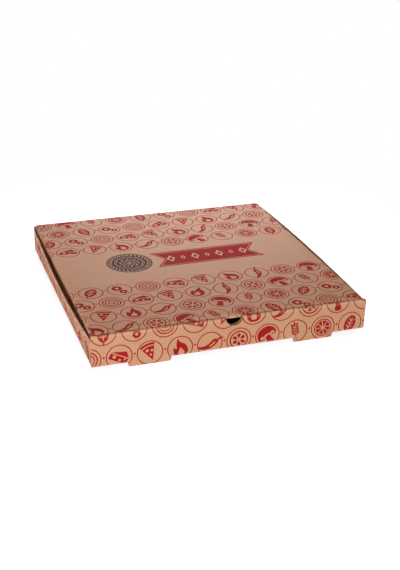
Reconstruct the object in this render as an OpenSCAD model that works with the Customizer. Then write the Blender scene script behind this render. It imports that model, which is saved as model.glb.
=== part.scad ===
// Folding pizza box of thin corrugated board: an open tray with a rolled front wall, and a tuck-in lid.
// Both come from one die-cut sheet and part only at the crease that the lid swings on.
// Front is -Y, +Z is up, and the two feet stand on z = 0.

/* [Box] */
// Outside width of the base
box_w = 330; // [240:1:420]
// Outside depth, front to back
box_d = 340; // [240:1:420]
// Height from the underside of the base to the top of the lid
box_h = 38; // [30:0.5:60]
// Thickness of the board
board_t = 1.5; // [1:0.1:2]
// Outside radius of the tray's folds
fold_r = 2.4; // [2.1:0.1:4]
// Gap between plies that lie against each other
ply_gap = 0.25; // [0.1:0.05:0.5]

/* [Front wall] */
// Width of each foot
foot_w = 49; // [30:1:60]
// Drop of the feet below the base
foot_h = 4.6; // [2:0.1:8]
// Distance between the middles of the two feet
foot_pitch = 198; // [120:1:220]
// Radius of the feet's lower corners
foot_corner_r = 2; // [0.5:0.1:2]
// Width of the locking tabs that drop into the base's slots
lock_tab_w = 44; // [20:1:48]
// Width of the finger notch
notch_w = 21; // [14:0.5:30]
// Depth of the finger notch below the top of the front wall
notch_depth = 9.7; // [6:0.1:14]
// Reach of the side walls' ears inside the front and back walls
ear_reach = 36; // [15:1:40]
// Bevel on the free corners of the ears
ear_bevel = 8; // [2:0.5:10]

/* [Side walls] */
// Drop of the side walls' top edges below the top of the lid
side_drop = 3.4; // [3:0.1:6]
// How far the top edges bulge outward at mid-length
side_bow = 4.4; // [0:0.1:8]
// How far the top edges lean outward at their ends
side_flare = 0.6; // [0:0.1:1]
// Shift of the left wall's bulge toward the back
left_skew = 0.35; // [-0.5:0.05:0.5]
// Shift of the right wall's bulge toward the back
right_skew = -0.35; // [-0.5:0.05:0.5]

/* [Lid] */
// Outside radius of the lid's folds
lid_fold_r = 2.6; // [2.1:0.1:2.8]
// Gap between the lid's side folds and the side walls' ends
lid_side_gap = 0.4; // [0.3:0.1:2]
// Gap between the lid's front fold and the rolled front wall
lid_front_gap = 1.2; // [1:0.1:4]
// Gap along the crease that the lid swings on
crease_gap = 0.2; // [0.1:0.05:0.4]
// Depth of the tuck flaps below the top of the lid
flap_h = 29; // [18:0.5:29]
// Inward lean of the tuck flaps in degrees
flap_lean = 6; // [5:0.5:12]
// Slope of the tuck flaps' ends in degrees
flap_slope = 12; // [4:1:25]
// Setback of the tuck flaps from the lid's corners
flap_setback = 5; // [4:0.5:20]
// Setback of the side tuck flaps from the back wall
flap_back_setback = 9; // [8:0.5:20]
// How much larger the lid's notch is than the front wall's, all round
lid_notch_margin = 1.5; // [0:0.1:4]
// Height of the lid's front fold that stays whole above its notch
lid_lip = 3.4; // [2:0.1:5]

/* [Hidden] */
kraft = [0.77, 0.61, 0.46];
kraft_lid = [0.72, 0.57, 0.45];
fold_steps = 6;
wall_steps = 24;
over = 1;
relief = 0.4;

half_w = box_w / 2;
half_d = box_d / 2;
z_base = foot_h;
z_top = foot_h + box_h;
z_side_top = z_top - side_drop;
front_wall_t = 3 * board_t + 2 * ply_gap;
roll_r = min(fold_r, front_wall_t / 2);
roll_inset = board_t + 2 * ply_gap;
slot_d = foot_h + board_t;
notch_r = notch_w / 2;
notch_z = z_top - notch_depth + notch_r;
ear_clear = 2 * ply_gap;
lid_half_w = half_w + side_flare - board_t - lid_side_gap;
lid_front_y = -half_d + front_wall_t + lid_front_gap;
flap_z = z_top - flap_h;
flap_zone = lid_fold_r + flap_h * tan(flap_lean) + 2 * board_t;

// Points along an arc, from angle a0 to angle a1
function arc(centre, r, a0, a1) =
    [for (i = [0:fold_steps]) let (a = a0 + (a1 - a0) * i / fold_steps) centre + r * [cos(a), sin(a)]];

// Outline, in [y, z], of the sheet that makes the back wall, base, front wall and its roll.
// The outer skin runs from the crease round to the roll's free edge, and the inner skin runs back.
function run_outline() =
    let (
        outer_front = -half_d,
        inner_front = -half_d + front_wall_t,
        bend_z = z_base + fold_r,
        free_z = z_base + board_t + ply_gap,
        mitre = half_d - board_t,
        crease_z = z_top - crease_gap,
        inner_r = fold_r - board_t,
        roll_inner_r = roll_r - board_t
    )
    concat(
        [[half_d, crease_z]],
        arc([half_d - fold_r, bend_z], fold_r, 0, -90),
        arc([outer_front + fold_r, bend_z], fold_r, -90, -180),
        arc([outer_front + roll_r, z_top - roll_r], roll_r, 180, 90),
        arc([inner_front - roll_r, z_top - roll_r], roll_r, 90, 0),
        [[inner_front, free_z], [inner_front - board_t, free_z]],
        arc([inner_front - roll_r, z_top - roll_r], roll_inner_r, 0, 90),
        arc([outer_front + roll_r, z_top - roll_r], roll_inner_r, 90, 180),
        arc([outer_front + fold_r, bend_z], inner_r, 180, 270),
        arc([half_d - fold_r, bend_z], inner_r, 270, 360),
        [[mitre, crease_z - board_t]]
    );

// Lays an outline drawn in [y, z] along X, centred on the box
module along_x(length) {
    translate([-length / 2, 0, 0])
        rotate([90, 0, 90])
            linear_extrude(length)
                children();
}

// Lays an outline drawn in [x, z] along Y, from one y to another
module along_y(from, to) {
    translate([0, to, 0])
        rotate([90, 0, 0])
            linear_extrude(to - from)
                children();
}

// Lays a copy on both sides of the middle plane
module both_sides() {
    children();
    mirror([1, 0, 0])
        children();
}

// Half-round cut for a finger through whatever stands between two depths
module finger_cut(r, from, to) {
    along_y(from, to)
        translate([0, notch_z])
            circle(r, $fn = 64);
}

// The long sheet with its ends trimmed: the base makes room for the side folds, the roll's inner ply for the
// side walls, which the roll itself passes over
module sheet_run() {
    side_strip = half_w - fold_r;
    roll_end = half_w - roll_inset;
    difference() {
        along_x(box_w)
            polygon(run_outline());
        both_sides()
            translate([side_strip, -half_d + fold_r, z_base - over])
                cube([fold_r + over, box_d - 2 * fold_r, fold_r + over]);
        both_sides()
            translate([roll_end, -half_d + board_t, z_base + fold_r])
                cube([roll_inset + over, front_wall_t, z_side_top + relief - z_base - fold_r]);
    }
}

// Outline of one foot in [x, z]: a tongue of the front wall with rounded lower corners
module foot_outline() {
    r = foot_corner_r;
    left = [-foot_w / 2 + r, r];
    right = [foot_w / 2 - r, r];
    top = z_base + fold_r + board_t;
    polygon(concat(
        [[foot_w / 2, top], [-foot_w / 2, top]],
        arc(left, r, 180, 270),
        arc(right, r, 270, 360)
    ));
}

// A foot, with the locking tab of the roll behind it
module foot_and_lock() {
    lock_y = -half_d + front_wall_t;
    lock_z = z_base + ply_gap;
    along_y(-half_d, -half_d + board_t)
        foot_outline();
    translate([-lock_tab_w / 2, lock_y - board_t, lock_z])
        cube([lock_tab_w, board_t, fold_r + board_t]);
}

// The hole that a foot leaves in the base, which its locking tab drops into
module lock_slot() {
    translate([-foot_w / 2, -half_d + board_t, z_base - over])
        cube([foot_w, slot_d, board_t + over + ply_gap]);
}

// Outward shift of a side wall's top edge at depth y
function side_shift(y, skew) =
    let (u = y / half_d)
    side_flare + side_bow * (1 - u * u) * (1 + skew * u);

// Section, in [x, z], of the right side wall's straight part at depth y
function side_section(y, skew) =
    let (
        foot = [half_w, z_base + fold_r],
        top = [half_w + side_shift(y, skew), z_side_top],
        through = [board_t, 0]
    )
    [foot, top, top - through, foot - through];

// Right side wall above its fold, lofted from front to back through its sections
module side_wall(skew) {
    start = -half_d + board_t + ply_gap + board_t / 2;
    step = -2 * start / wall_steps;
    sections = [for (i = [0:wall_steps]) let (y = start + i * step)
        [for (p = side_section(y, skew)) [p[0], y, p[1]]]];
    n = len(sections[0]);
    points = [for (section = sections) for (p = section) p];
    skin = [for (i = [0:wall_steps - 1]) for (j = [0:n - 1])
        let (k = (j + 1) % n, a = i * n, b = (i + 1) * n)
        each [[a + j, b + k, b + j], [a + j, a + k, b + k]]];
    front_end = [for (j = [n - 1:-1:0]) j];
    back_end = [for (j = [0:n - 1]) wall_steps * n + j];
    polyhedron(points, concat(skin, [front_end, back_end]));
}

// Fold between the base and the right side wall, stopped short at the corners
module side_fold() {
    bend = [half_w - fold_r, z_base + fold_r];
    end = half_d - fold_r - relief;
    along_y(-end, end)
        polygon(concat(
            arc(bend, fold_r, -90, 0),
            arc(bend, fold_r - board_t, 0, -90)
        ));
}

// Height of a point on a side wall, as a share of the way up its straight part
function up_wall(z) = (z - z_base - fold_r) / (z_side_top - z_base - fold_r);

// Ear on the right side wall, from one y to another: bevelled at its free corners.
// It covers the end of the wall, so its root leans as the wall does.
module ear(from, to) {
    root = half_w - ply_gap / 2;
    tip = half_w - ear_reach;
    low = z_base + fold_r + ear_clear;
    high = z_side_top - ear_clear;
    along_y(from, to)
        polygon([
            [root + side_flare * up_wall(low), low],
            [root + side_flare * up_wall(high), high],
            [tip + ear_bevel, high],
            [tip, high - ear_bevel],
            [tip, low + ear_bevel],
            [tip + ear_bevel, low]
        ]);
}

// Right side wall with its ears folded in behind the front and back walls
module side_panel(skew) {
    skin = board_t + ply_gap;
    side_wall(skew);
    side_fold();
    ear(-half_d + skin, -half_d + skin + board_t);
    ear(half_d - skin - board_t, half_d - skin);
}

module tray() {
    color(kraft) {
        difference() {
            sheet_run();
            for (side = [-1, 1])
                translate([side * foot_pitch / 2, 0, 0])
                    lock_slot();
            finger_cut(notch_r, -half_d - over, -half_d + front_wall_t + over);
        }
        for (side = [-1, 1])
            translate([side * foot_pitch / 2, 0, 0])
                foot_and_lock();
        side_panel(right_skew);
        mirror([1, 0, 0])
            side_panel(left_skew);
    }
}

// Profile under one folded edge of the lid, in [across, z], set in from the lid's skin by a depth.
// The edge lies at -reach, the fold is an arc, and the flap leans inward below it.
function lid_edge(reach, inset, end_z) =
    let (
        centre = [-reach + lid_fold_r, z_top - lid_fold_r],
        fold = arc(centre, lid_fold_r - inset, 90, 180 + flap_lean),
        root = fold[fold_steps]
    )
    concat(fold, [[root[0] + (root[1] - end_z) * tan(flap_lean), end_z]]);

// Everything under the lid's skin, or under its inner skin when set in by the board's thickness
module lid_core(inset, end_z) {
    side = lid_edge(lid_half_w, inset, end_z);
    front = lid_edge(-lid_front_y, inset, end_z);
    other = [for (i = [len(side) - 1:-1:0]) [-side[i][0], side[i][1]]];
    intersection() {
        along_y(lid_front_y, half_d + over)
            polygon(concat(side, other));
        along_x(box_w)
            polygon(concat(
                front,
                [[half_d + over, end_z], [half_d + over, z_top - inset]]
            ));
    }
}

// Trims one end of a tuck flap, in [along, z]: clear of the corner, and sloping back toward its tip
module flap_end_trim(at) {
    tip_z = flap_z - over;
    fold_z = z_top - lid_fold_r;
    polygon([
        [at, fold_z],
        [at + flap_zone + over, fold_z],
        [at + flap_zone + over, tip_z],
        [at - (fold_z - tip_z) * tan(flap_slope), tip_z]
    ]);
}

// Parts the three tuck flaps from each other, and the side flaps from the back wall
module flap_trims() {
    both_sides()
        along_y(lid_front_y - over, lid_front_y + flap_zone)
            flap_end_trim(lid_half_w - flap_setback);
    both_sides()
        translate([lid_half_w - flap_zone / 2 + over / 2, 0, 0])
            along_x(flap_zone + over) {
                mirror([1, 0])
                    flap_end_trim(-lid_front_y - flap_setback);
                flap_end_trim(half_d - flap_back_setback);
            }
}

// Slants the lid's back edge so that it swings clear of the back wall
module crease_trim() {
    depth = flap_h + over;
    along_x(box_w + 2 * over)
        polygon([
            [half_d, z_top],
            [half_d + 2 * over, z_top + over],
            [half_d + 2 * over, z_top - depth],
            [half_d - depth, z_top - depth]
        ]);
}

module lid() {
    notch_top = z_top - lid_lip;
    color(kraft_lid)
        difference() {
            lid_core(0, flap_z);
            lid_core(board_t, flap_z - over);
            flap_trims();
            crease_trim();
            intersection() {
                finger_cut(notch_r + lid_notch_margin, lid_front_y - over, lid_front_y + flap_zone);
                translate([-half_w, lid_front_y - over, flap_z])
                    cube([box_w, flap_zone + over, notch_top - flap_z]);
            }
        }
}

tray();
lid();
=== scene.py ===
import math
import random

import bpy
import numpy as np
from mathutils import Matrix, Vector
from mathutils.geometry import delaunay_2d_cdt


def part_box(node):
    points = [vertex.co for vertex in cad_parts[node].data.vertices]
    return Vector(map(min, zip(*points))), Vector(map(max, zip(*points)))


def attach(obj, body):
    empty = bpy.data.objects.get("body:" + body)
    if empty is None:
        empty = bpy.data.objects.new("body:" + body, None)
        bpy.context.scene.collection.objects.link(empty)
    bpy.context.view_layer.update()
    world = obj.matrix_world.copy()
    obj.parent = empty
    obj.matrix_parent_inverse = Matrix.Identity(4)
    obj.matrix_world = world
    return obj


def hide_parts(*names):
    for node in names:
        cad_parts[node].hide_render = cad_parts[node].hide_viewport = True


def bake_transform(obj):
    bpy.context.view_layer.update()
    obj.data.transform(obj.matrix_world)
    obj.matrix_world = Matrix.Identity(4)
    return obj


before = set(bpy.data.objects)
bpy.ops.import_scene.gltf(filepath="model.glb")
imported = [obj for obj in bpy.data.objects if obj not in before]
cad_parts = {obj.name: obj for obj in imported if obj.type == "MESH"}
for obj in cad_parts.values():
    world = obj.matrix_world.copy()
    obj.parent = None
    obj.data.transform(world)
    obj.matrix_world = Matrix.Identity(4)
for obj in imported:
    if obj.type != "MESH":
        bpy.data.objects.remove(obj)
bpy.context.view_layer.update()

# The box in metres, as the solids have it. Front is -Y, and the board's outer skin is the printed one.
MM = 0.001
TRAY_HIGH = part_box("tray")[1]
LID_LOW, LID_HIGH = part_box("lid")
HALF_D = TRAY_HIGH[1]
Z_TOP = TRAY_HIGH[2]
HALF_W = 165 * MM
BOARD_T = 1.5 * MM
PLY_GAP = 0.25 * MM
FOLD_R = 2.4 * MM
FOOT_W = 49 * MM
FOOT_H = 4.6 * MM
FOOT_PITCH = 198 * MM
FOOT_CORNER_R = 2 * MM
LOCK_W = 44 * MM
NOTCH_R = 10.5 * MM
NOTCH_DEPTH = 9.7 * MM
SIDE_DROP = 3.4 * MM
SIDE_BOW = 4.4 * MM
SIDE_FLARE = 0.6 * MM
SIDE_SKEW = 0.35
EAR_REACH = 36 * MM
EAR_BEVEL = 8 * MM
EAR_FOLD_R = 1.7 * MM
LID_FOLD_R = 2.6 * MM
LID_SAG = 0.5 * MM
LID_LIP = 3.4 * MM
LID_NOTCH_MARGIN = 1.5 * MM
FLAP_LEAN = math.radians(6)
FLAP_SLOPE = math.radians(12)
FLAP_SETBACK = 5 * MM
FLAP_BACK_SETBACK = 9 * MM
CREASE_R = 1.7 * MM
CORNER_RELIEF = 0.4 * MM

Z_BASE = FOOT_H
BEND_Z = Z_BASE + FOLD_R
Z_SIDE_TOP = Z_TOP - SIDE_DROP
NOTCH_Z = Z_TOP - NOTCH_DEPTH + NOTCH_R
FRONT_WALL_T = 3 * BOARD_T + 2 * PLY_GAP
ROLL_INSET = BOARD_T + 2 * PLY_GAP
SLOT_D = FOOT_H + BOARD_T
QUARTER_FOLD = FOLD_R * math.pi / 2
QUARTER_EAR_FOLD = EAR_FOLD_R * math.pi / 2

# The board's make-up: two liners with a fluted sheet between them, open at the cut edges
LINER_T = 0.25 * MM
FLUTE_PITCH = 3.2 * MM
FLUTE_PAPER_T = 0.16 * MM
FLUTE_STEP = FLUTE_PITCH / 10
CUT_DEPTH = 2.2 * MM
FLUTE_DEPTH = 0.96 * CUT_DEPTH
FLUTE_SEAM = 0.005 * MM
# How far beside a fold the scuffed fibres and painted highlight reach
FOLD_RUB_AND_HIGHLIGHT_REACH = 1.2 * MM

# An edge that is nearer to a line than this lies on it
NEAR = 0.1 * MM

# How finely the folds, corners and rounded edges are divided
BEND_STEPS = 8
EAR_STEPS = 6
FLAP_STEPS = 9
CORNER_STEPS = 6
NOTCH_STEPS = 40
CREASE_STEPS = 10
CREASE_COLUMNS = 60
CREASE_SHARP = math.radians(40)

# Loose points inside a bowed panel, across and up it, so that its triangles follow the bow
SIDE_SPOTS = (28, 4)
SIDE_SPOTS_MARGIN = (6 * MM, 5 * MM)
LID_SPOTS = (21, 21)
LID_SPOTS_X = (-150 * MM, 150 * MM)
LID_SPOTS_Y = (-150 * MM, 160 * MM)

# Paints, in the order of the board's material slots
KRAFT, INSIDE, RED, BLACK, CUT, HOLLOW_SHADE = range(6)


def polar(x, y, r, angle):
    return x + r * math.cos(angle), y + r * math.sin(angle)


def circle(x, y, r, steps):
    return [polar(x, y, r, math.tau * i / steps) for i in range(steps)]


def arc(x, y, r, first, last, steps):
    """Points along an arc, from one angle in degrees to another."""
    turns = (math.radians(first + (last - first) * i / steps) for i in range(steps + 1))
    return [polar(x, y, r, a) for a in turns]


def rectangle(x0, y0, x1, y1):
    return [(x0, y0), (x1, y0), (x1, y1), (x0, y1)]


def both_sides(right):
    """A closed outline from its right half."""
    return right + [(-x, y) for x, y in right[::-1]]


def in_mm(points):
    return [(a / MM, b / MM) for a, b in points]


class BentPath:
    """A sheet seen end on, from its first edge to its last, as straight runs and bends of its outer skin.
    The outer skin is on the left of the way along it, and every bend is a quarter turn to the right."""

    def __init__(self, point, heading):
        self.point = np.array(point, float)
        self.heading = math.radians(heading)
        self.length = 0.0
        self.parts = []
        self.stations = [0.0]

    def run(self, length):
        self.parts.append((self.length, length, self.point.copy(), self.heading, None))
        self.point += length * np.array([math.cos(self.heading), math.sin(self.heading)])
        self.length += length
        self.stations.append(self.length)
        return self

    def bend(self, radius):
        turn = math.pi / 2
        length = radius * turn
        self.parts.append((self.length, length, self.point.copy(), self.heading, radius))
        self.point = self._on_bend(self.point, self.heading, radius, np.array([turn]))[0]
        self.heading -= turn
        self.stations += [self.length + length * (i + 1) / BEND_STEPS for i in range(BEND_STEPS)]
        self.length += length
        return self

    @staticmethod
    def _on_bend(start, heading, radius, turned):
        centre = start + radius * np.array([math.sin(heading), -math.cos(heading)])
        facing = heading + math.pi / 2 - turned
        return centre + radius * np.stack([np.cos(facing), np.sin(facing)], axis=1)

    def fold_lines(self):
        """Where lines cross the sheet: through each bend, and where the strip beside it ends that gets
        scuffed fibres and a painted highlight.
        """
        marks = self.stations[1:-1]
        for start, length, _, _, radius in self.parts:
            if radius is None:
                continue
            for end in (start - FOLD_RUB_AND_HIGHLIGHT_REACH, start + length + FOLD_RUB_AND_HIGHLIGHT_REACH):
                if min(abs(end - other) for other in self.stations) > FOLD_RUB_AND_HIGHLIGHT_REACH / 3:
                    marks.append(end)
        return [s for s in marks if 0 < s < self.length]

    def at(self, along):
        """The points that lie at these distances along the path."""
        points = np.empty((len(along), 2))
        for number, (start, length, point, heading, radius) in enumerate(self.parts):
            mine = along >= start if number else np.ones(len(along), bool)
            gone = along[mine] - start
            if radius is None:
                ahead = np.array([math.cos(heading), math.sin(heading)])
                points[mine] = point + gone[:, None] * ahead
            else:
                points[mine] = self._on_bend(point, heading, radius, gone / radius)
        return points


# Folding: each function takes flat places on the die-cut sheet to points in the box

def run_path():
    """Back wall, base, front wall, roll and the roll's inner ply, seen from the right, as (y, z)."""
    path = BentPath((HALF_D, Z_TOP - CREASE_R), -90)
    path.run(Z_TOP - CREASE_R - BEND_Z).bend(FOLD_R)
    path.run(2 * (HALF_D - FOLD_R)).bend(FOLD_R)
    path.run(Z_TOP - FOLD_R - BEND_Z).bend(FOLD_R)
    path.run(FRONT_WALL_T - 2 * FOLD_R).bend(FOLD_R)
    path.run(Z_TOP - FOLD_R - Z_BASE - BOARD_T - PLY_GAP)
    return path


# How far along that path each fold or panel starts
RUN = run_path()
BACK_FOLD_S = Z_TOP - CREASE_R - BEND_Z
BASE_S = BACK_FOLD_S + QUARTER_FOLD
FRONT_FOLD_S = BASE_S + 2 * (HALF_D - FOLD_R)
FRONT_S = FRONT_FOLD_S + QUARTER_FOLD
ROLL_S = FRONT_S + Z_TOP - FOLD_R - BEND_Z
INNER_S = ROLL_S + FRONT_WALL_T - 2 * FOLD_R + 2 * QUARTER_FOLD


def fold_run(flat):
    return np.column_stack([flat[:, 0], RUN.at(flat[:, 1])])


def fold_foot(flat):
    return np.column_stack([flat[:, 0], np.full(len(flat), -HALF_D), flat[:, 1]])


def fold_lock(flat):
    """A locking tab, in line with the roll's inner ply. Its outer skin faces the inside of the box."""
    return fold_foot(flat) * [-1, 1, 1] + [0, FRONT_WALL_T, 0]


SIDE_PATH = BentPath((HALF_W, Z_SIDE_TOP), -90).run(Z_SIDE_TOP - BEND_Z).bend(FOLD_R)
EAR_Y = HALF_D - BOARD_T - PLY_GAP - EAR_FOLD_R
EAR_S = EAR_Y + QUARTER_EAR_FOLD


def side_shift(y):
    """How far out a side wall's top edge stands."""
    u = y / HALF_D
    return SIDE_FLARE + SIDE_BOW * (1 - u * u) * (1 + SIDE_SKEW * u)


def fold_side(flat):
    """A side wall with its ears. Flat places are (along the wall, up from its lower edge)."""
    section = SIDE_PATH.at(SIDE_PATH.length - flat[:, 1])
    past = np.clip(np.abs(flat[:, 0]) - EAR_Y, 0, None)
    turned = np.minimum(past / EAR_FOLD_R, math.pi / 2)
    beyond = np.clip(np.abs(flat[:, 0]) - EAR_S, 0, None)
    y = np.clip(flat[:, 0], -EAR_Y, EAR_Y)
    up = np.clip((section[:, 1] - BEND_Z) / (Z_SIDE_TOP - BEND_Z), 0, 1)
    x = section[:, 0] + side_shift(y) * up
    x -= EAR_FOLD_R * (1 - np.cos(turned)) + beyond
    y = y + np.sign(flat[:, 0]) * EAR_FOLD_R * np.sin(turned)
    return np.column_stack([x, y, section[:, 1]])


FLAP_TURN = math.pi / 2 + FLAP_LEAN
FLAP_BEND = LID_FOLD_R * FLAP_TURN
LID_SIDE_U = LID_HIGH[0] - LID_FOLD_R
LID_FRONT_V = LID_LOW[1] + LID_FOLD_R
LID_BACK_V = HALF_D - CREASE_R


def over_fold(past):
    """How far out and down a flap's outer skin is, at a distance past the start of its fold."""
    turned = np.clip(past / LID_FOLD_R, 0, FLAP_TURN)
    beyond = np.clip(past - FLAP_BEND, 0, None)
    out = LID_FOLD_R * np.sin(turned) + beyond * math.cos(FLAP_TURN)
    down = LID_FOLD_R * (1 - np.cos(turned)) + beyond * math.sin(FLAP_TURN)
    return out, down


def fold_lid(flat):
    """The lid's panel with its tuck flaps. Flat places are (x, y) on the panel, carried on past folds."""
    side_out, side_down = over_fold(np.abs(flat[:, 0]) - LID_SIDE_U)
    front_out, front_down = over_fold(LID_FRONT_V - flat[:, 1])
    x = np.clip(flat[:, 0], -LID_SIDE_U, LID_SIDE_U) + np.sign(flat[:, 0]) * side_out
    y = np.maximum(flat[:, 1], LID_FRONT_V) - front_out
    u = np.clip(flat[:, 0] / LID_SIDE_U, -1, 1)
    v = np.clip((flat[:, 1] - LID_FRONT_V) / (LID_BACK_V - LID_FRONT_V), 0, 1)
    sag = LID_SAG * (1 - u * u) * np.sin(math.pi * v)
    return np.column_stack([x, y, Z_TOP - side_down - front_down - sag])


# Printing: a print is a list of (closed outline, colour), each laid over the ones before it.
# A motif has a radius of about 1.

def dot(x, y, r, colour=RED, steps=14):
    return (circle(x, y, r, steps), colour)


def bare_dots(*spots):
    """Small round places without ink, each as (x, y, radius)."""
    return [dot(x, y, r, KRAFT) for x, y, r in spots]


def stamped(shapes, angle, x, y, size):
    """Shapes turned by an angle, made larger and set down at a place."""
    c, s = size * math.cos(angle), size * math.sin(angle)
    return [([(x + c * a - s * b, y + s * a + c * b) for a, b in points], colour)
            for points, colour in shapes]


def petal(angle, near, far, width, steps=7):
    """A rounded wedge that points out from the middle."""
    c, s = math.cos(angle), math.sin(angle)
    edge = []
    for side in (1, -1):
        for i in range(steps):
            t = i / (steps - 1) if side > 0 else 1 - i / (steps - 1)
            along = near + (far - near) * t
            swell = math.sin(math.pi * min(max(t, 0.02), 0.98)) ** 0.6
            off = side * width * swell * (0.45 + 0.55 * t)
            edge.append((c * along - s * off, s * along + c * off))
    return edge


def bar(x0, y0, x1, y1, width):
    dx, dy = x1 - x0, y1 - y0
    scale = width / 2 / math.hypot(dx, dy)
    nx, ny = -dy * scale, dx * scale
    return [(x0 - nx, y0 - ny), (x1 - nx, y1 - ny), (x1 + nx, y1 + ny), (x0 + nx, y0 + ny)]


def lozenge(x, y, wide, tall):
    return [(x - wide, y), (x, y - tall), (x + wide, y), (x, y + tall)]


def rounded(corners, rounds=3):
    """A closed outline with its corners cut off, again and again, until it looks round."""
    for _ in range(rounds):
        pairs = list(zip(corners, corners[1:] + corners[:1]))
        corners = [(p[0] + (q[0] - p[0]) * t, p[1] + (q[1] - p[1]) * t)
                   for p, q in pairs for t in (0.25, 0.75)]
    return corners


def tomato_slice():
    shapes = [dot(0, 0, 0.64, RED, 32), dot(0, 0, 0.54, KRAFT, 32)]
    shapes += [(petal(math.tau * i / 6, 0.12, 0.46, 0.16), RED) for i in range(6)]
    return shapes


def mushroom():
    """A slice through a button mushroom: its cap, its stem and the gills on both sides of it."""
    cap = both_sides([(0.5, -0.16), (0.7, -0.1), (0.66, 0.3), (0.34, 0.66)])
    stem = both_sides([(0.2, 0.0), (0.17, -0.3), (0.27, -0.58), (0.16, -0.7)])
    gill = [(0.24, -0.1), (0.3, 0.14), (0.5, 0.1), (0.58, -0.06)]
    other_gill = [(-x, y) for x, y in gill]
    stem_root = both_sides([(0.3, -0.2), (0.26, 0.12)])
    bare = [(rounded(shape, 2), KRAFT) for shape in (gill, other_gill, stem_root)]
    return [(rounded(cap), RED), *bare, (rounded(stem, 2), RED)]


def basil_leaf():
    blade = arc(0.42, 0, 0.82, 132, 228, 12) + arc(-0.42, 0, 0.82, -48, 48, 12)
    shapes = [(blade, RED), (bar(0, -0.5, 0, 0.45, 0.062), KRAFT), (bar(0, -0.8, 0, -0.56, 0.09), RED)]
    for up in (-0.25, 0.0, 0.25):
        for side in (-1, 1):
            shapes.append((bar(0, up - 0.08, side * 0.22, up + 0.12, 0.05), KRAFT))
    return shapes


def pizza_slice():
    crust = arc(0, -0.62, 1.3, 66, 114, 10) + arc(0, -0.62, 1.14, 114, 66, 10)
    cheese = arc(0, -0.62, 1.06, 113, 67, 10) + [(0, -0.62)]
    topping = bare_dots((-0.12, 0.2, 0.11), (0.17, 0.1, 0.09), (0.0, -0.16, 0.08))
    return [(rounded(crust, 1), RED), (cheese, RED), *topping]


def olives():
    large = [dot(-0.2, 0.16, 0.36, RED, 24), dot(-0.2, 0.16, 0.14, KRAFT)]
    small = [dot(0.3, -0.26, 0.27, RED, 20), dot(0.3, -0.26, 0.1, KRAFT)]
    return large + small


def wheat_ear():
    shapes = [(bar(0, -0.7, 0, 0.3, 0.06), RED), (petal(math.pi / 2, 0.34, 0.72, 0.1), RED)]
    for i in range(4):
        low = -0.32 + 0.2 * i
        for side in (-1, 1):
            grain = petal(math.pi / 2 - side * 0.7, 0.06, 0.4, 0.09)
            shapes.append(([(x, y + low) for x, y in grain], RED))
    return shapes


def chilli():
    pod = [(0.3, 0.5), (0.06, 0.42), (0.0, 0.16), (-0.12, -0.16), (-0.4, -0.42), (-0.72, -0.52),
           (-0.46, -0.62), (-0.06, -0.52), (0.28, -0.2), (0.44, 0.2), (0.46, 0.44)]
    shine = [(0.22, 0.3), (0.16, 0.06), (0.02, -0.18), (0.1, -0.2), (0.25, 0.02), (0.3, 0.28)]
    stalk = [(0.24, 0.48), (0.34, 0.5), (0.44, 0.46), (0.5, 0.62), (0.66, 0.72), (0.6, 0.8), (0.42, 0.7)]
    return [(rounded(pod), RED), (rounded(shine, 2), KRAFT), (rounded(stalk, 2), RED)]


def cheese_wedge():
    side = rectangle(-0.62, -0.34, 0.62, 0.06)
    top = [(-0.62, 0.13), (0.62, 0.13), (0.3, 0.5)]
    holes = bare_dots((-0.3, -0.1, 0.12), (0.12, -0.2, 0.09), (0.42, -0.04, 0.07))
    return [(side, RED), (top, RED), *holes]


def onion_rings():
    radii = (0.64, 0.55, 0.45, 0.37, 0.24, 0.15)
    return [dot(0, 0, r, KRAFT if i % 2 else RED, 28) for i, r in enumerate(radii)]


def cut_pizza():
    shapes = [dot(0, 0, 0.64, RED, 32), dot(0, 0, 0.56, KRAFT, 32), dot(0, 0, 0.5, RED, 28)]
    for i in range(4):
        x, y = polar(0, 0, 0.52, math.pi * i / 4)
        shapes.append((bar(-x, -y, x, y, 0.06), KRAFT))
    return shapes


def oven_flame():
    outer = [(0.02, 0.78), (0.06, 0.42), (0.36, 0.24), (0.5, -0.08), (0.46, -0.44), (0.18, -0.66),
             (-0.18, -0.66), (-0.46, -0.44), (-0.5, -0.06), (-0.4, 0.2), (-0.3, 0.04), (-0.2, 0.02),
             (-0.2, 0.4)]
    inner = [(0.02, 0.1), (0.1, -0.1), (0.24, -0.28), (0.16, -0.5),
             (-0.14, -0.5), (-0.22, -0.28), (-0.1, -0.16)]
    return [(rounded(outer), RED), (rounded(inner), KRAFT)]


MOTIFS = (tomato_slice, basil_leaf, pizza_slice, mushroom, olives, oven_flame,
          wheat_ear, onion_rings, chilli, cut_pizza, cheese_wedge)

# The print on the blank, in millimetres, and how far a motif may be turned, in degrees
RING_R = 15.2
RING_LINE = 1.25
MOTIF_SIZE = RING_R * 1.16
MOTIF_TURN = 32
ROW_PITCH = 31.5
COLUMN_PITCH = 35.0
DOT_R = 1.3
DOT_UP = 1.5
BARE_BAND = (-34.0, 54.0)
EMBLEM_AT = (-73.0, 11.0)
EMBLEM_R = 29.0
EMBLEM_LINE = 0.8
EMBLEM_GRAINS = 28
EMBLEM_SLICES = 8
RIBBON_X = (-41.5, 102.0)
RIBBON_Y = (-12.0, 32.0)
RIBBON_TAIL = 15.0
RIBBON_LINES = ((0, RED), (2.6, KRAFT), (3.5, RED))
RIBBON_LOZENGES = 7
RIBBON_MARGIN = 8
LARGE_LOZENGE = (5.5, 9.5)
SMALL_LOZENGE = (3.4, 5.5)
SIDE_FLAP_PRINT = 24
FRONT_FLAP_PRINT = 30
BASE_MARGIN = 20

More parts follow.
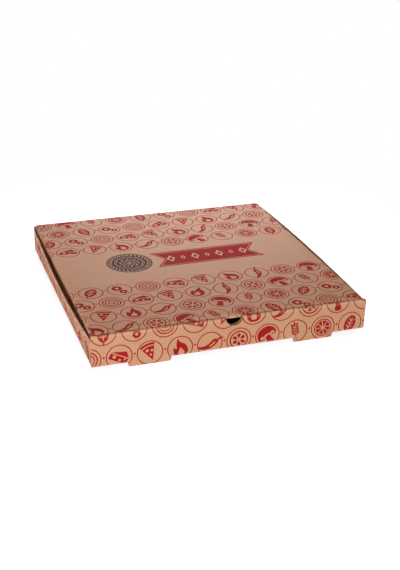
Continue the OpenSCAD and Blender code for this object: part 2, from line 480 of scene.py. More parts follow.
# The emblem, in shares of its radius: its rings from the rim in, its wreath of grain, its bread,
# and the spots on a slice, each with how far out it is, its radius, and how far aside in radians
EMBLEM_RINGS = (1.0, 0.94, 0.91, 0.66, 0.63, 0.58, 0.55)
WREATH_R = 0.74
GRAIN_LENGTH = 0.2
GRAIN_WIDTH = 0.052
GRAIN_TURN = 0.9
BREAD_R = 0.53
BREAD_SPOTS = ((0.24, 0.035, -0.04), (0.4, 0.055, -0.04), (0.33, 0.03, 0.16))


def medallion(x, y, motif, angle):
    rings = [dot(x, y, RING_R, RED, 44), dot(x, y, RING_R - RING_LINE, KRAFT, 44)]
    return rings + stamped(motif(), angle, x, y, MOTIF_SIZE)


def motif_field(low, high, origin, seed, keep=None, tilt=0):
    """Medallions in staggered rows that cover a rectangle, with small dots between them.
    tilt turns every motif, in degrees."""
    draw = random.Random(seed)
    shapes = []
    first, last = (math.floor((edge[1] - origin[1]) / ROW_PITCH) for edge in (low, high))
    for row in range(first, last + 2):
        y = origin[1] + row * ROW_PITCH
        shift = COLUMN_PITCH / 2 if row % 2 else 0
        start, stop = (math.floor((edge[0] - origin[0]) / COLUMN_PITCH) for edge in (low, high))
        for column in range(start, stop + 2):
            x = origin[0] + shift + column * COLUMN_PITCH
            motif = MOTIFS[(column * 3 + row * 5) % len(MOTIFS)]
            angle = math.radians(tilt + draw.uniform(-MOTIF_TURN, MOTIF_TURN))
            inside = low[0] - RING_R < x < high[0] + RING_R and low[1] - RING_R < y < high[1] + RING_R
            if not inside or (keep and not keep(x, y)):
                continue
            shapes += medallion(x, y, motif, angle)
            shapes.append(dot(x + COLUMN_PITCH / 2, y + DOT_UP, DOT_R, RED, 10))
    return shapes


def emblem():
    """A dark round wood-cut of a sliced flat bread in a wreath of grain."""
    x, y = EMBLEM_AT
    shapes = []
    for i, r in enumerate(EMBLEM_RINGS):
        shapes.append(dot(x, y, EMBLEM_R * r, KRAFT if i % 2 else BLACK, 72))
    grain = [(petal(0, 0.0, GRAIN_LENGTH, GRAIN_WIDTH), KRAFT)]
    for i in range(EMBLEM_GRAINS):
        at = math.tau * i / EMBLEM_GRAINS
        shapes += stamped(grain, at + GRAIN_TURN, *polar(x, y, EMBLEM_R * WREATH_R, at), EMBLEM_R)
    for i in range(EMBLEM_SLICES):
        at = math.tau * (i + 0.5) / EMBLEM_SLICES
        shapes.append((bar(x, y, *polar(x, y, BREAD_R * EMBLEM_R, at), EMBLEM_LINE), KRAFT))
        middle = at + math.pi / EMBLEM_SLICES
        for reach, r, aside in BREAD_SPOTS:
            spot = polar(x, y, reach * EMBLEM_R, middle + aside)
            shapes.append(dot(*spot, r * EMBLEM_R, KRAFT, 10))
    return shapes


def ribbon_outline(inset):
    (x0, x1), (y0, y1) = RIBBON_X, RIBBON_Y
    middle = (y0 + y1) / 2
    tip = 1.6 * inset
    fork = RIBBON_TAIL + inset
    return [(x0 + tip, y0 + inset), (x1 - tip, y0 + inset), (x1 - fork, middle),
            (x1 - tip, y1 - inset), (x0 + tip, y1 - inset), (x0 + fork, middle)]


def ribbon():
    """A plain swallow-tailed ribbon with a row of lozenges along it."""
    shapes = [(ribbon_outline(inset), colour) for inset, colour in RIBBON_LINES]
    middle_x, middle_y = sum(RIBBON_X) / 2, sum(RIBBON_Y) / 2
    reach = (RIBBON_X[1] - RIBBON_X[0]) / 2 - RIBBON_TAIL - RIBBON_MARGIN
    for i in range(RIBBON_LOZENGES):
        x = middle_x + reach * (2 * i / (RIBBON_LOZENGES - 1) - 1)
        wide, tall = SMALL_LOZENGE if i % 2 else LARGE_LOZENGE
        shapes.append((lozenge(x, middle_y, wide, tall), KRAFT))
        shapes.append((lozenge(x, middle_y, wide / 2, tall / 2), RED))
    return shapes


def lid_print():
    """Motifs at the lid's front and back, and a bare band between them with the emblem and the ribbon."""
    edge = (LID_SIDE_U + FLAP_BEND) / MM + SIDE_FLAP_PRINT
    low = (-edge, LID_FRONT_V / MM - FRONT_FLAP_PRINT)
    high = (edge, LID_BACK_V / MM)

    def off_band(x, y):
        return y > BARE_BAND[1] or y < BARE_BAND[0]

    return motif_field(low, high, origin=(0.0, 64.0), seed=5, keep=off_band) + ribbon() + emblem()


def front_print():
    """Runs from the feet up the front wall and over its roll."""
    low = (-HALF_W / MM, (FRONT_S - BEND_Z) / MM)
    high = (HALF_W / MM, INNER_S / MM)
    return motif_field(low, high, origin=(6.0, FRONT_S / MM + 7.0), seed=11)


def back_print():
    low = (-HALF_W / MM, 0)
    high = (HALF_W / MM, BACK_FOLD_S / MM)
    return motif_field(low, high, origin=(12.0, 22.0), seed=17, tilt=180)


def bare_base():
    """Keeps the other prints off the base."""
    edge = HALF_W / MM + BASE_MARGIN
    return [(rectangle(-edge, BASE_S / MM, edge, FRONT_FOLD_S / MM), KRAFT)]


def side_print(seed):
    low = (-HALF_D / MM, QUARTER_FOLD / MM)
    high = (HALF_D / MM, SIDE_PATH.length / MM)
    return motif_field(low, high, origin=(seed * 4.0, low[1] + 12.0), seed=seed)


# Cutting: a flat outline with holes, print and fold lines becomes a board with two skins and open edges

# Points in mm that are closer than this become one
SAME_POINT = 1e-4
# At a corner, the way out of the board is lengthened by 1 / CORNER_SHARE at most
CORNER_SHARE = 0.6
# The layers of a board's points that line the groove in its cut edges, from outer to inner liner
GROOVE_LAYERS = (2, 3, 4, 5)


class Board:
    """Collects the points, faces, paints and flat places of one body's board, and its cut edges."""

    def __init__(self):
        self.points, self.faces, self.paints, self.normals, self.flat = [], [], [], [], []
        self.cuts, self.rub_and_highlight = [], []

    def add(self, points, rub_and_highlight, faces, paints, normals, flat):
        start = sum(len(p) for p in self.points)
        self.points.append(points)
        self.rub_and_highlight.append(rub_and_highlight)
        self.faces += [tuple(start + i for i in face) for face in faces]
        self.paints += paints
        self.normals += normals
        self.flat += flat


def cut_flat(outline, holes, shapes, lines, spots):
    """Triangles of a flat blank, in mm: (points, triangles, a paint for each)."""
    points, edges, faces, paints = [], [], [], []

    def add_loop(loop):
        area = sum(a[0] * b[1] - b[0] * a[1] for a, b in zip(loop, loop[1:] + loop[:1]))
        start = len(points)
        points.extend(Vector(p) for p in (loop if area > 0 else loop[::-1]))
        faces.append(list(range(start, len(points))))

    for loop in (outline, *holes):
        add_loop(loop)
    for loop, colour in shapes:
        add_loop(loop)
        paints.append(colour)
    for a, b in lines:
        edges.append((len(points), len(points) + 1))
        points.extend((Vector(a), Vector(b)))
    points.extend(Vector(p) for p in spots)
    verts, _, tris, _, _, sources = delaunay_2d_cdt(points, edges, faces, 0, SAME_POINT, True)
    kept, colours = [], []
    first_paint = 1 + len(holes)
    for tri, source in zip(tris, sources):
        if 0 not in source or any(0 < f < first_paint for f in source):
            continue
        top = max(source)
        kept.append(tuple(tri))
        colours.append(paints[top - first_paint] if top >= first_paint else KRAFT)
    return np.array([tuple(v) for v in verts]), kept, colours


def skin_normals(fold, flat):
    """The ways out of the outer skin at flat places, from a small step to each side of them."""
    step = 2e-6
    du = fold(flat + [step, 0]) - fold(flat - [step, 0])
    dv = fold(flat + [0, step]) - fold(flat - [0, step])
    n = np.cross(du, dv)
    return n / np.linalg.norm(n, axis=1)[:, None]


def fold_rub_and_highlight(fold, flat):
    """How sharply the board turns near each flat place, from 0 on a panel to 1 on a fold, which sets how
    much scuffing and painted highlight it gets.
    """
    turns = []
    for step in ((FOLD_RUB_AND_HIGHLIGHT_REACH, 0), (0, FOLD_RUB_AND_HIGHLIGHT_REACH)):
        change = skin_normals(fold, flat + step) - skin_normals(fold, flat - np.array(step))
        turns.append(np.linalg.norm(change, axis=1))
    return np.clip(np.max(turns, axis=0), 0, 1)


def rim_of(triangles):
    """The edges with a triangle on one side only, in that triangle's order."""
    seen = dict.fromkeys(edge for tri in triangles for edge in zip(tri, tri[1:] + tri[:1]))
    return [edge for edge in seen if edge[::-1] not in seen]


def outward_of(flat, rim):
    """For each point on the rim, the flat direction out of the board, longer at a corner."""
    out = {}
    for a, b in rim:
        d = flat[b] - flat[a]
        n = np.array([d[1], -d[0]]) / max(np.linalg.norm(d), 1e-12)
        out.setdefault(a, []).append(n)
        out.setdefault(b, []).append(n)
    result = {}
    for i, ns in out.items():
        n = np.sum(ns, axis=0)
        length = np.linalg.norm(n)
        n = n / length if length > 1e-6 else ns[0]
        result[i] = n / max(float(n @ ns[0]), CORNER_SHARE)
    return result


def flips_of(mirror):
    return np.array([-1.0, 1, 1]) if mirror else np.ones(3)


def lay_board(board, fold, outline, holes=(), shapes=(), lines=(), spots=(), joined=None,
              across=0, mirror=False):
    """Cuts a blank in mm, folds it and adds it to a board. joined says, for the middle of an edge, whether
    the board carries on there, with no cut edge. across is the flat axis that runs over the flutes."""
    flat_mm, tris, colours = cut_flat(outline, holes, shapes, lines, spots)
    used = sorted({i for tri in tris for i in tri})
    place = {old: new for new, old in enumerate(used)}
    flat = flat_mm[used] * MM
    tris = [tuple(place[i] for i in tri) for tri in tris]
    rim = rim_of(tris)
    outward = outward_of(flat, rim)
    rim_points = sorted(outward)
    sunk = {i: n for n, i in enumerate(rim_points)}
    sunk_flat = np.array([flat[i] - CUT_DEPTH * outward[i] for i in rim_points])

    skin = fold(flat)
    normal = skin_normals(fold, flat)
    deep = fold(sunk_flat)
    deep_normal = skin_normals(fold, sunk_flat)
    rim_skin, rim_normal = skin[rim_points], normal[rim_points]
    layers = [
        skin,
        skin - BOARD_T * normal,
        rim_skin - LINER_T * rim_normal,
        deep - LINER_T * deep_normal,
        deep - (BOARD_T - LINER_T) * deep_normal,
        rim_skin - (BOARD_T - LINER_T) * rim_normal,
    ]
    start = np.cumsum([0] + [len(layer) for layer in layers])
    points = np.vstack(layers)
    all_flat = np.vstack([flat, flat, flat[rim_points], sunk_flat, sunk_flat, flat[rim_points]])
    if across:
        all_flat = all_flat[:, ::-1]
    flips = flips_of(mirror)
    faces, paints, corner_normals, flats = [], [], [], []

    def put(face, paint, normals=None):
        if normals is None:
            a, b, c = (points[i] for i in face[:3])
            n = np.cross(b - a, c - a)
            length = np.linalg.norm(n)
            n = n / length if length > 1e-15 else np.array([0, 0, 1.0])
            normals = [n] * len(face)
        order = face[::-1] if mirror else face
        normals = normals[::-1] if mirror else normals
        faces.append(tuple(order))
        paints.append(paint)
        corner_normals.extend(tuple(n * flips) for n in normals)
        flats.extend(tuple(all_flat[i]) for i in order)

    for tri, colour in zip(tris, colours):
        put(tri, colour, [normal[i] for i in tri])
        back = tri[::-1]
        put(tuple(start[1] + i for i in back), INSIDE, [-normal[i] for i in back])
    following = {}
    for a, b in rim:
        middle = (flat[a] + flat[b]) / 2 / MM
        if joined is not None and joined(*middle):
            put((b, a, start[1] + a, start[1] + b), INSIDE)
            continue
        # A cut edge's groove: its liner lips take the cut edge's paint, and its walls and floor take a dark
        # paint that stands for the shade inside the hollow.
        p, q = sunk[a], sunk[b]
        groove = [(start[k] + q, start[k] + p) for k in GROOVE_LAYERS]
        ring = [(b, a), *groove, (start[1] + b, start[1] + a)]
        for (b0, a0), (b1, a1), paint in zip(ring, ring[1:], (CUT, HOLLOW_SHADE, HOLLOW_SHADE, HOLLOW_SHADE, CUT)):
            put((b0, a0, a1, b1), paint)
        following[a] = b
    reached = dict.fromkeys(following.values())
    # Each open end of a groove is capped with the same painted shade.
    for i in (*following, *reached):
        if i not in following or i not in reached:
            k = sunk[i]
            cap = (i, *(start[n] + k for n in GROOVE_LAYERS), start[1] + i)
            put(cap if i in reached else cap[::-1], HOLLOW_SHADE, [deep_normal[k]] * len(cap))
    board.cuts.append((fold, flat, outward, following, across, mirror))
    rub_and_highlight = fold_rub_and_highlight(fold, flat)
    rub_and_highlight = np.concatenate([rub_and_highlight, rub_and_highlight, np.zeros(len(GROOVE_LAYERS) * len(rim_points))])
    board.add(points * flips, rub_and_highlight, faces, paints, corner_normals, flats)


# The tray

def run_outline():
    """The run's blank: the base stops at the side folds, and the inner ply short of the side walls."""
    base_x = HALF_W - FOLD_R
    ply_x = HALF_W - ROLL_INSET
    ply_s = INNER_S + Z_TOP - FOLD_R - Z_SIDE_TOP - CORNER_RELIEF
    return both_sides([
        (HALF_W, 0), (HALF_W, BASE_S), (base_x, BASE_S), (base_x, FRONT_FOLD_S), (HALF_W, FRONT_FOLD_S),
        (HALF_W, ply_s), (ply_x, ply_s), (ply_x, RUN.length),
    ])


def notch_hole():
    """The finger notch as one hole from the front wall over the roll to the inner ply."""
    drop = Z_TOP - FOLD_R - (NOTCH_Z - NOTCH_R)
    along = np.linspace(ROLL_S - drop, INNER_S + drop, NOTCH_STEPS)
    heights = RUN.at(along)[:, 1]
    half = np.sqrt(np.clip(NOTCH_R ** 2 - (heights - NOTCH_Z) ** 2, 0, None))
    right = list(zip(half, along))
    left = [(-w, s) for w, s in right[::-1]]
    return right + left[1:-1]


def foot_hole(middle):
    """The slot that a foot leaves in the base and the front fold."""
    slot_end = FRONT_FOLD_S + FOLD_R - BOARD_T - SLOT_D
    return rectangle(middle - FOOT_W / 2, slot_end, middle + FOOT_W / 2, FRONT_S)


def foot_outline(middle):
    left, right = middle - FOOT_W / 2, middle + FOOT_W / 2
    r = FOOT_CORNER_R
    lower = arc(left + r, r, r, 180, 270, CORNER_STEPS) + arc(right - r, r, r, 270, 360, CORNER_STEPS)
    return lower + [(right, BEND_Z), (left, BEND_Z)]


def lock_outline(middle):
    low = Z_BASE + PLY_GAP
    return rectangle(middle - LOCK_W / 2, low, middle + LOCK_W / 2, low + BOARD_T)


def run_carries_on(x, s):
    """At the side folds, at the top of a foot, at the crease and at the inner ply's hidden end."""
    x, s = abs(x) * MM, s * MM
    at_side_fold = abs(x - (HALF_W - FOLD_R)) < NEAR and BASE_S < s < FRONT_FOLD_S
    return at_side_fold or abs(s - FRONT_S) < NEAR or s < NEAR or s > RUN.length - NEAR


def make_tray():
    board = Board()
    foot_places = [side * FOOT_PITCH / 2 for side in (-1, 1)]
    holes = [in_mm(notch_hole())] + [in_mm(foot_hole(middle)) for middle in foot_places]
    lines = [in_mm(((-HALF_W, s), (HALF_W, s))) for s in RUN.fold_lines()]
    run_print = front_print() + back_print() + bare_base()
    lay_board(board, fold_run, in_mm(run_outline()), holes, run_print, lines, joined=run_carries_on)
    foot_s = (FRONT_S - BEND_Z) / MM
    foot_print = [([(x, s - foot_s) for x, s in points], colour) for points, colour in front_print()]
    for middle in foot_places:
        lay_board(board, fold_foot, in_mm(foot_outline(middle)), shapes=foot_print,
                  joined=lambda x, z: z * MM > BEND_Z - NEAR)
        lay_board(board, fold_lock, in_mm(lock_outline(middle)),
                  joined=lambda x, z: z * MM > Z_BASE + BOARD_T)
    make_side(board, seed=31, mirror=False)
    make_side(board, seed=23, mirror=True)
    return board


def side_outline():
    """A side wall, its fold stopped short of the corners, and an ear at each end."""
    bend, top = QUARTER_FOLD, SIDE_PATH.length
    fold_end = HALF_D - FOLD_R - CORNER_RELIEF
    wall_end = EAR_Y + QUARTER_EAR_FOLD / 2
    low, high = bend + 2 * PLY_GAP, top - 2 * PLY_GAP
    tip = EAR_S + EAR_REACH - BOARD_T - EAR_FOLD_R
    shoulder = tip - EAR_BEVEL
    return both_sides([
        (fold_end, 0), (fold_end, bend), (wall_end, bend), (wall_end, low), (shoulder, low),
        (tip, low + EAR_BEVEL), (tip, high - EAR_BEVEL), (shoulder, high),
        (wall_end, high), (wall_end, top),
    ])


def make_side(board, seed, mirror):
    """The right side wall, or the left one as its mirror image, bowed as the wall on its own side is."""
    bend, top = QUARTER_FOLD, SIDE_PATH.length
    reach = EAR_S + 1 * MM
    heights = [bend * (i + 1) / BEND_STEPS for i in range(BEND_STEPS)] + [bend + FOLD_RUB_AND_HIGHLIGHT_REACH]
    lines = [in_mm(((-reach, h), (reach, h))) for h in heights]
    ear_places = [EAR_Y + QUARTER_EAR_FOLD * i / EAR_STEPS for i in range(EAR_STEPS + 1)]
    for place in (*ear_places, EAR_Y - FOLD_RUB_AND_HIGHLIGHT_REACH, EAR_S + FOLD_RUB_AND_HIGHLIGHT_REACH):
        lines += [in_mm(((end * place, bend), (end * place, top))) for end in (-1, 1)]
    end_margin, edge_margin = SIDE_SPOTS_MARGIN
    columns = np.linspace(end_margin - EAR_Y, EAR_Y - end_margin, SIDE_SPOTS[0])
    rows = np.linspace(bend + edge_margin, top - edge_margin, SIDE_SPOTS[1])
    spots = in_mm((y, h) for y in columns for h in rows)

    def fold(flat):
        if not mirror:
            return fold_side(flat)
        return fold_side(flat * [-1, 1]) * [1, -1, 1]

    lay_board(board, fold, in_mm(side_outline()), shapes=side_print(seed), lines=lines, spots=spots,
              joined=lambda y, h: h * MM < NEAR / 2, across=1, mirror=mirror)


# The lid

def lid_outline():
    """The panel, its front flap and its two side flaps, anticlockwise from the front flap's right tip."""
    drop = LID_FOLD_R * (1 - math.cos(FLAP_TURN))
    tip = FLAP_BEND + (Z_TOP - LID_LOW[2] - drop) / math.sin(FLAP_TURN)
    root = LID_FOLD_R * math.pi / 2
    taper = (tip - root) * math.tan(FLAP_SLOPE)
    u, v = LID_SIDE_U, LID_FRONT_V
    front_end = LID_HIGH[0] - FLAP_SETBACK
    side_front, side_back = LID_LOW[1] + FLAP_SETBACK, HALF_D - FLAP_BACK_SETBACK
    corner = arc(u, v, root, -90, 0, CORNER_STEPS)
    corner = [p for p in corner if p[0] > front_end and p[1] < side_front]
    return both_sides([
        (front_end - taper, v - tip), (front_end, v - root), *corner, (u + root, side_front),
        (u + tip, side_front + taper), (u + tip, side_back - taper), (u + root, side_back),
        (u + root, LID_BACK_V - LID_FOLD_R), (u, LID_BACK_V),
    ])


def lid_notch():
    """The finger notch in the front flap, a little wider than the wall's, under the lid's front lip.
    It is found in fine steps down the flap, and every fourth of them becomes a point."""
    radius = NOTCH_R + LID_NOTCH_MARGIN
    past = np.linspace(0, FLAP_BEND + 20 * MM, 400)
    heights = Z_TOP - over_fold(past)[1]
    inside = (heights <= Z_TOP - LID_LIP) & (heights >= NOTCH_Z - radius)
    past, heights = past[inside][::4], heights[inside][::4]
    half = np.sqrt(radius ** 2 - (heights - NOTCH_Z) ** 2)
    return both_sides(list(zip(half, LID_FRONT_V - past)))


def make_lid():
    board = Board()
    reach = LID_SIDE_U + FLAP_BEND
    front = LID_LOW[1] - 2 * MM
    lines = []
    in_fold = [FLAP_BEND * i / FLAP_STEPS for i in range(FLAP_STEPS + 1)]
    for past in (-FOLD_RUB_AND_HIGHLIGHT_REACH, *in_fold, FLAP_BEND + FOLD_RUB_AND_HIGHLIGHT_REACH):
        u, v = LID_SIDE_U + past, LID_FRONT_V - past
        lines.append(in_mm(((-reach, v), (reach, v))))
        lines += [in_mm(((side * u, front), (side * u, LID_BACK_V))) for side in (-1, 1)]
    columns = np.linspace(*LID_SPOTS_X, LID_SPOTS[0])
    rows = np.linspace(*LID_SPOTS_Y, LID_SPOTS[1])
    spots = in_mm((x, y) for x in columns for y in rows)
    lay_board(board, fold_lid, in_mm(lid_outline()), [in_mm(lid_notch())], lid_print(), lines, spots,
              joined=lambda x, y: y * MM > LID_BACK_V - NEAR)
    return board


# Finishes

class Graph:
    """Puts nodes in a node tree. A value is a constant, or the socket that it comes from."""

    def __init__(self, tree):
        self.tree = tree
        self.nodes = tree.nodes

    def feed(self, inputs, values):
        """Gives each of these inputs its value, by its name or number."""
        for key, value in values.items():
            if isinstance(value, bpy.types.NodeSocket):
                self.tree.links.new(value, inputs[key])
            else:
                inputs[key].default_value = value

    def add(self, kind, values=None, **settings):
        node = self.nodes.new(kind)
        for name, setting in settings.items():
            setattr(node, name, setting)
        self.feed(node.inputs, values or {})
        return node

    def noise(self, place, scale, detail, roughness=0.5):
        values = {"Vector": place, "Scale": scale, "Detail": detail, "Roughness": roughness}
        return self.add("ShaderNodeTexNoise", values).outputs[0]

    def ranged(self, value, low, high, out_low, out_high):
        """Carries a value from one range over to another."""
        values = dict(enumerate((value, low, high, out_low, out_high)))
        return self.add("ShaderNodeMapRange", values).outputs[0]

    def maths(self, operation, *values):
        return self.add("ShaderNodeMath", dict(enumerate(values)), operation=operation).outputs[0]

    def scaled(self, vector, factor):
        return self.add("ShaderNodeVectorMath", {0: vector, "Scale": factor}, operation="SCALE").outputs[0]

    def mixed(self, share, a, b):
        return self.add("ShaderNodeMix", {0: share, 6: a, 7: b}, data_type="RGBA").outputs[2]


def new_material(name):
    material = bpy.data.materials.new(name)
    material.use_nodes = True
    return material, Graph(material.node_tree), material.node_tree.nodes["Principled BSDF"].inputs


def opaque(colour, share=1.0):
    return (*(share * c for c in colour), 1)


# How coarse the paper's traits are, for each metre of board, and how strongly they show
FIBRE_SCALE = 1500.0
FIBRE_STRETCH = (1.0, 0.16, 1.0)
FIBRE_SHARE = 0.34
FLECK_SCALE = 620.0
FLECK_SHARE = 0.45
FLECK_TONE = 0.55
CLOUD_SCALE = 38.0
CLOUD_TONES = (0.96, 1.04)
GRAIN_SCALE = 640.0
GRAIN_TONES = (0.84, 1.14)
WASHBOARD_SCALE = math.tau / 20 / FLUTE_PITCH
WASHBOARD_SHADE = 0.025
WASHBOARD_RELIEF = 0.55
# How strongly folds lighten, for scuffed fibres and a painted highlight
RUB_AND_HIGHLIGHT_SHARES = (0.3, 0.55)
ROUGHNESS = (0.68, 0.78)
SHEEN = 0.3
RELIEF = 0.09 * MM
RELIEF_STRENGTH = 0.35


def paper(name, colour, dark, rubbed_and_lit, washboard=1.0, ink=0.0):
    """Unbleached paper on fluted board. colour is the sheet, dark its fibres, and the third colour the one
    its folds lighten towards, for scuffed fibres and a painted highlight.
    washboard is how much the flutes show through it, as relief and as painted shade in stripes, and ink how
    far a print covers the fibres."""
    material, graph, shader = new_material(name)
    blank = graph.add("ShaderNodeUVMap", uv_map="blank").outputs[0]
    stretched = graph.add("ShaderNodeMapping", {"Vector": blank, "Scale": FIBRE_STRETCH}).outputs[0]
    fibres = graph.noise(stretched, FIBRE_SCALE, detail=4.0, roughness=0.6)
    flecks = graph.noise(stretched, FLECK_SCALE, detail=2.0)
    cloud = graph.noise(blank, CLOUD_SCALE, detail=5.0, roughness=0.55)
    grain = graph.noise(blank, GRAIN_SCALE, detail=3.0, roughness=0.7)
    waves = {"Vector": blank, "Scale": WASHBOARD_SCALE, "Distortion": 0.6, "Detail": 1.0}
    flutes = graph.add("ShaderNodeTexWave", waves, bands_direction="X").outputs[0]

    fibre_share = graph.ranged(fibres, 0.35, 0.75, 0.0, FIBRE_SHARE * (1 - ink))
    sheet = graph.mixed(fibre_share, opaque(colour), opaque(dark))
    cloud_tone = graph.ranged(cloud, 0.3, 0.7, *CLOUD_TONES)
    grain_tone = graph.ranged(grain, 0.25, 0.75, *GRAIN_TONES)
    toned = graph.scaled(sheet, graph.maths("MULTIPLY", cloud_tone, grain_tone))
    fleck_share = graph.ranged(flecks, 0.66, 0.74, 0.0, FLECK_SHARE * (1 - 0.7 * ink))
    flecked = graph.mixed(fleck_share, toned, opaque(dark, FLECK_TONE))
    # Painted shade in stripes along the flutes, darkening the sheet as the washboard's hollows would.
    flute_shade_tone = graph.ranged(flutes, 0.0, 1.0, 1.0 - WASHBOARD_SHADE * washboard, 1.0)
    flute_shaded = graph.scaled(flecked, flute_shade_tone)
    # Folds lighten in noisy patches: partly scuffed fibres, partly a painted highlight along the fold
    # edges.
    fold = graph.add("ShaderNodeAttribute", attribute_name="fold_rub_and_highlight").outputs["Fac"]
    patches = graph.ranged(grain, 0.42 + 0.08 * ink, 0.6, RUB_AND_HIGHLIGHT_SHARES[0] * (1 - ink), RUB_AND_HIGHLIGHT_SHARES[1])
    sheet_with_lit_folds = graph.mixed(graph.maths("MULTIPLY", fold, patches), flute_shaded, opaque(rubbed_and_lit))

    height = graph.maths("MULTIPLY_ADD", flutes, WASHBOARD_RELIEF * washboard, fibres)
    relief = {"Strength": RELIEF_STRENGTH, "Distance": RELIEF, "Height": height}
    graph.feed(shader, {
        "Base Color": sheet_with_lit_folds,
        "Roughness": graph.ranged(cloud, 0.3, 0.7, *ROUGHNESS),
        "Specular IOR Level": SHEEN * (1 - 1.8 * ink),
        "Normal": graph.add("ShaderNodeBump", relief).outputs[0],
    })
    return material


def plain_paper(name, colour):
    """The fluted sheet's own paper, which shows only in the cut edges, darkened in part with painted shade.
    """
    material, graph, shader = new_material(name)
    place = graph.add("ShaderNodeTexCoord").outputs["Object"]
    share = graph.ranged(graph.noise(place, scale=900.0, detail=3.0), 0.3, 0.7, 0.0, 0.5)
    mottled = graph.mixed(share, opaque(colour), opaque(colour, 0.6))
    graph.feed(shader, {"Base Color": mottled, "Roughness": 0.9, "Specular IOR Level": 0.2})
    return material


KRAFT_COLOUR = (0.505, 0.285, 0.15)
KRAFT_DARK = (0.36, 0.17, 0.10)
# The colour folds lighten towards: scuffed fibres together with a painted highlight.
KRAFT_RUBBED_AND_LIT = (0.70, 0.43, 0.28)
INSIDE_COLOUR = (0.5, 0.29, 0.16)
RED_COLOUR = (0.335, 0.012, 0.014)
RED_DARK = (0.25, 0.02, 0.016)
BLACK_COLOUR = (0.028, 0.022, 0.02)
BLACK_DARK = (0.07, 0.045, 0.03)
# The cut edge: the board's own darker edge colour, deepened with painted shade.
CUT_EDGE_AND_SHADE_COLOUR = (0.16, 0.09, 0.05)
# The fluted sheet: its own paper colour, deepened with painted shade.
FLUTE_PAPER_AND_SHADE_COLOUR = (0.22, 0.13, 0.07)
# The groove's hollow: painted shade, darker than any paper of the board.
HOLLOW_SHADE_COLOUR = (0.12, 0.068, 0.038)
HOLLOW_SHADE_DARK = (0.08, 0.045, 0.025)


def board_materials():
    return [
        paper("kraft_liner", KRAFT_COLOUR, KRAFT_DARK, KRAFT_RUBBED_AND_LIT),
        paper("kraft_inside", INSIDE_COLOUR, KRAFT_DARK, KRAFT_RUBBED_AND_LIT, washboard=1.3),
        paper("red_ink_on_kraft", RED_COLOUR, RED_DARK, KRAFT_COLOUR, ink=0.5),
        paper("black_ink_on_kraft", BLACK_COLOUR, BLACK_DARK, KRAFT_COLOUR, ink=0.5),
        paper("cut_edge_and_painted_shade", CUT_EDGE_AND_SHADE_COLOUR, KRAFT_DARK, CUT_EDGE_AND_SHADE_COLOUR, washboard=0.0),
        paper("flute_hollow_painted_shade", HOLLOW_SHADE_COLOUR, HOLLOW_SHADE_DARK, HOLLOW_SHADE_COLOUR, washboard=0.0),
    ]


# Meshes

def new_object(name, data):
    """An object for a mesh, a camera or a lamp, in the scene."""
    added = bpy.data.objects.new(name, data)
    bpy.context.collection.objects.link(added)
    return added


def set_paper(mesh, corner_flat, rub_and_highlight, materials):
    """Gives a mesh what the paper reads: each corner's flat place and how much scuffing and painted
    highlight each point's fold gets.
    """
    mesh.uv_layers.new(name="blank")
    mesh.uv_layers["blank"].data.foreach_set("uv", np.array(corner_flat, np.float32).ravel())
    layer = mesh.attributes.new("fold_rub_and_highlight", "FLOAT", "POINT")
    layer.data.foreach_set("value", np.array(rub_and_highlight, np.float32))
    for material in materials:
        mesh.materials.append(material)
    mesh.polygons.foreach_set("use_smooth", [True] * len(mesh.polygons))


def board_object(name, board, materials):
    mesh = bpy.data.meshes.new(name)
    mesh.from_pydata([tuple(p) for p in np.vstack(board.points)], [], board.faces)
    set_paper(mesh, board.flat, np.concatenate(board.rub_and_highlight), materials)
    mesh.polygons.foreach_set("material_index", board.paints)
    mesh.update()
    mesh.normals_split_custom_set(board.normals)
    return new_object(name, mesh)


def crease_object(name, material):
    """The strip of board that turns from the back wall to the lid, as a closed bar with a round outside."""
    middle = (HALF_D - CREASE_R, Z_TOP - CREASE_R)
    section = arc(*middle, CREASE_R, 0, 90, CREASE_STEPS)
    section += arc(*middle, CREASE_R - BOARD_T, 90, 0, CREASE_STEPS)
    xs = np.linspace(-LID_SIDE_U, LID_SIDE_U, CREASE_COLUMNS)
    points = [(x, y, z) for x in xs for y, z in section]
    n = len(section)
    faces = []
    for i in range(len(xs) - 1):
        for j in range(n):
            k = (j + 1) % n
            faces.append((i * n + k, (i + 1) * n + k, (i + 1) * n + j, i * n + j))
    faces.append(tuple(range(n - 1, -1, -1)))
    faces.append(tuple((len(xs) - 1) * n + j for j in range(n)))
    mesh = bpy.data.meshes.new(name)
    mesh.from_pydata(points, [], faces)
    corner_flat = [(points[loop.vertex_index][0], 0.0) for loop in mesh.loops]
    # The whole crease takes the full share of scuffing and painted highlight.
    set_paper(mesh, corner_flat, [1.0] * len(points), [material])
    mesh.set_sharp_from_angle(angle=CREASE_SHARP)
    return new_object(name, mesh)


# The fluted sheet that shows in the cut edges

def cut_chains(following):
    """Runs of points along a board's cut edges, each in order. A closed run ends on its first point."""
    left = dict(following)
    reached = set(left.values())
    firsts = [a for a in left if a not in reached]
    chains = []
    while left:
        at = firsts.pop() if firsts else next(iter(left))
        chain = [at]
        while at in left:
            at = left.pop(at)
            chain.append(at)
        chains.append(chain)
    return chains


